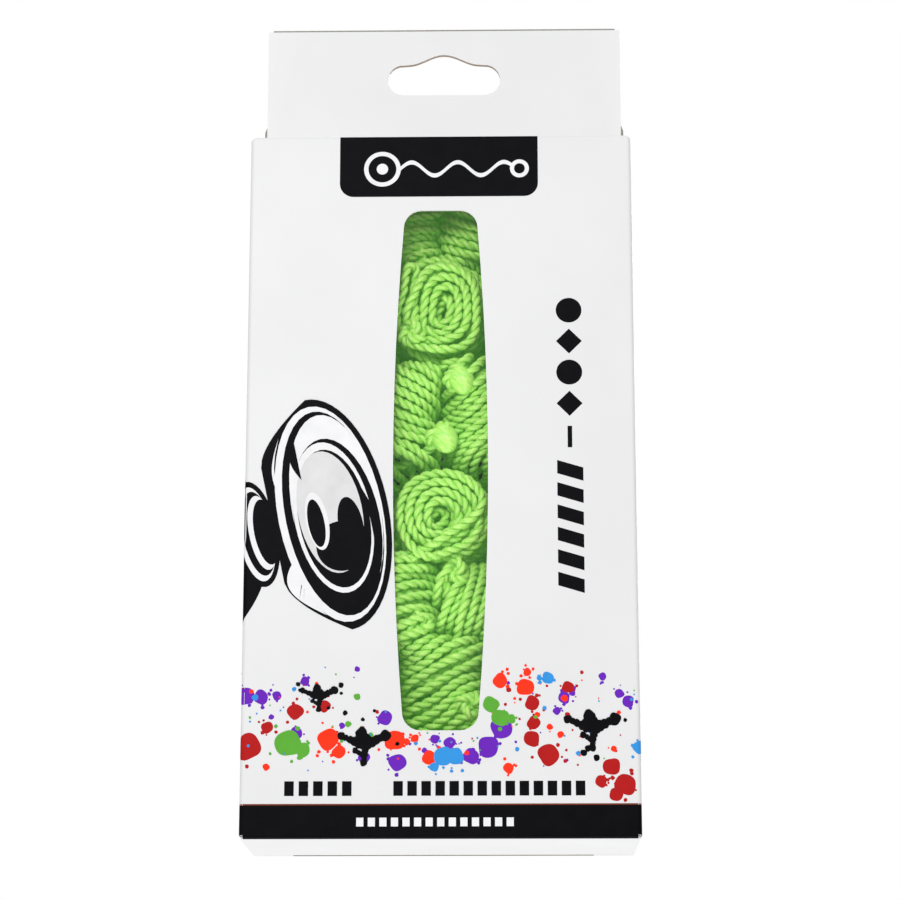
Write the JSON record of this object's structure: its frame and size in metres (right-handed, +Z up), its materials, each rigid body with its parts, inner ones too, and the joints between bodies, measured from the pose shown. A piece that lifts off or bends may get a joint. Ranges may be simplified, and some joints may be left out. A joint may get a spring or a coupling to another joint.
{
  "type": "yo-yo string pack",
  "caption": "Folding paperboard window carton with a hang tab and hinged end closures, packed with coiled yo-yo strings.",
  "frame": {"origin": "centre of the carton's base, on the surface it stands on", "axes": "+Z up, towards the hang tab; the front panel with its window faces -Y; +X is to the right of someone looking at the front"},
  "size_m": [0.06, 0.025, 0.139],
  "materials": {
    "board": "satin coated",
    "film": "clear gloss",
    "string": "matt twisted yarn"
  },
  "bodies": {
    "carton": {"front_panel": "board", "back_panel": "board", "hang_tab_ply": "board", "left_side_panel": "board", "right_side_panel": "board", "glue_flap": "board", "window_film": "film", "string_01": "string", "string_02": "string", "string_03": "string", "string_04": "string", "string_05": "string", "string_06": "string", "string_07": "string", "string_08": "string", "string_09": "string", "string_10": "string", "string_11": "string", "string_12": "string", "string_13": "string", "string_14": "string", "string_15": "string", "string_16": "string", "string_17": "string", "string_18": "string", "string_19": "string", "string_20": "string", "string_21": "string", "string_22": "string", "string_23": "string", "string_24": "string", "string_25": "string"},
    "top_lid": {"top_closing_panel": "board"},
    "top_tuck": {"top_tuck_flap": "board"},
    "top_left_dust": {"top_left_dust_flap": "board"},
    "top_right_dust": {"top_right_dust_flap": "board"},
    "bottom_lid": {"bottom_closing_panel": "board"},
    "bottom_tuck": {"bottom_tuck_flap": "board"},
    "bottom_left_dust": {"bottom_left_dust_flap": "board"},
    "bottom_right_dust": {"bottom_right_dust_flap": "board"}
  },
  "joints": [
    {"name": "top_lid_fold", "type": "hinge", "parent": "carton", "child": "top_lid", "pos_m": [0, -0.0121, 0.1103], "axis": [1, 0, 0], "range_deg": [0, 170]},
    {"name": "top_tuck_fold", "type": "hinge", "parent": "top_lid", "child": "top_tuck", "pos_m": [0, 0.011, 0.1103], "axis": [1, 0, 0], "range_deg": [-86, 0]},
    {"name": "top_left_dust_fold", "type": "hinge", "parent": "carton", "child": "top_left_dust", "pos_m": [-0.0296, 0, 0.1098], "axis": [0, -1, 0], "range_deg": [0, 86]},
    {"name": "top_right_dust_fold", "type": "hinge", "parent": "carton", "child": "top_right_dust", "pos_m": [0.0296, 0, 0.1098], "axis": [0, 1, 0], "range_deg": [0, 86]},
    {"name": "bottom_lid_fold", "type": "hinge", "parent": "carton", "child": "bottom_lid", "pos_m": [0, -0.0121, 0.0004], "axis": [-1, 0, 0], "range_deg": [0, 170]},
    {"name": "bottom_tuck_fold", "type": "hinge", "parent": "bottom_lid", "child": "bottom_tuck", "pos_m": [0, 0.011, 0.0004], "axis": [-1, 0, 0], "range_deg": [-86, 0]},
    {"name": "bottom_left_dust_fold", "type": "hinge", "parent": "carton", "child": "bottom_left_dust", "pos_m": [-0.0296, 0, 0.0009], "axis": [0, 1, 0], "range_deg": [0, 86]},
    {"name": "bottom_right_dust_fold", "type": "hinge", "parent": "carton", "child": "bottom_right_dust", "pos_m": [0.0296, 0, 0.0009], "axis": [0, -1, 0], "range_deg": [0, 86]}
  ],
  "couplings": [
    {"joint": "top_tuck_fold", "follows": "top_lid_fold", "ratio": -0.5},
    {"joint": "top_left_dust_fold", "follows": "top_lid_fold", "ratio": 0.5},
    {"joint": "top_right_dust_fold", "follows": "top_lid_fold", "ratio": 0.5},
    {"joint": "bottom_tuck_fold", "follows": "bottom_lid_fold", "ratio": -0.5},
    {"joint": "bottom_left_dust_fold", "follows": "bottom_lid_fold", "ratio": 0.5},
    {"joint": "bottom_right_dust_fold", "follows": "bottom_lid_fold", "ratio": 0.5}
  ]
}
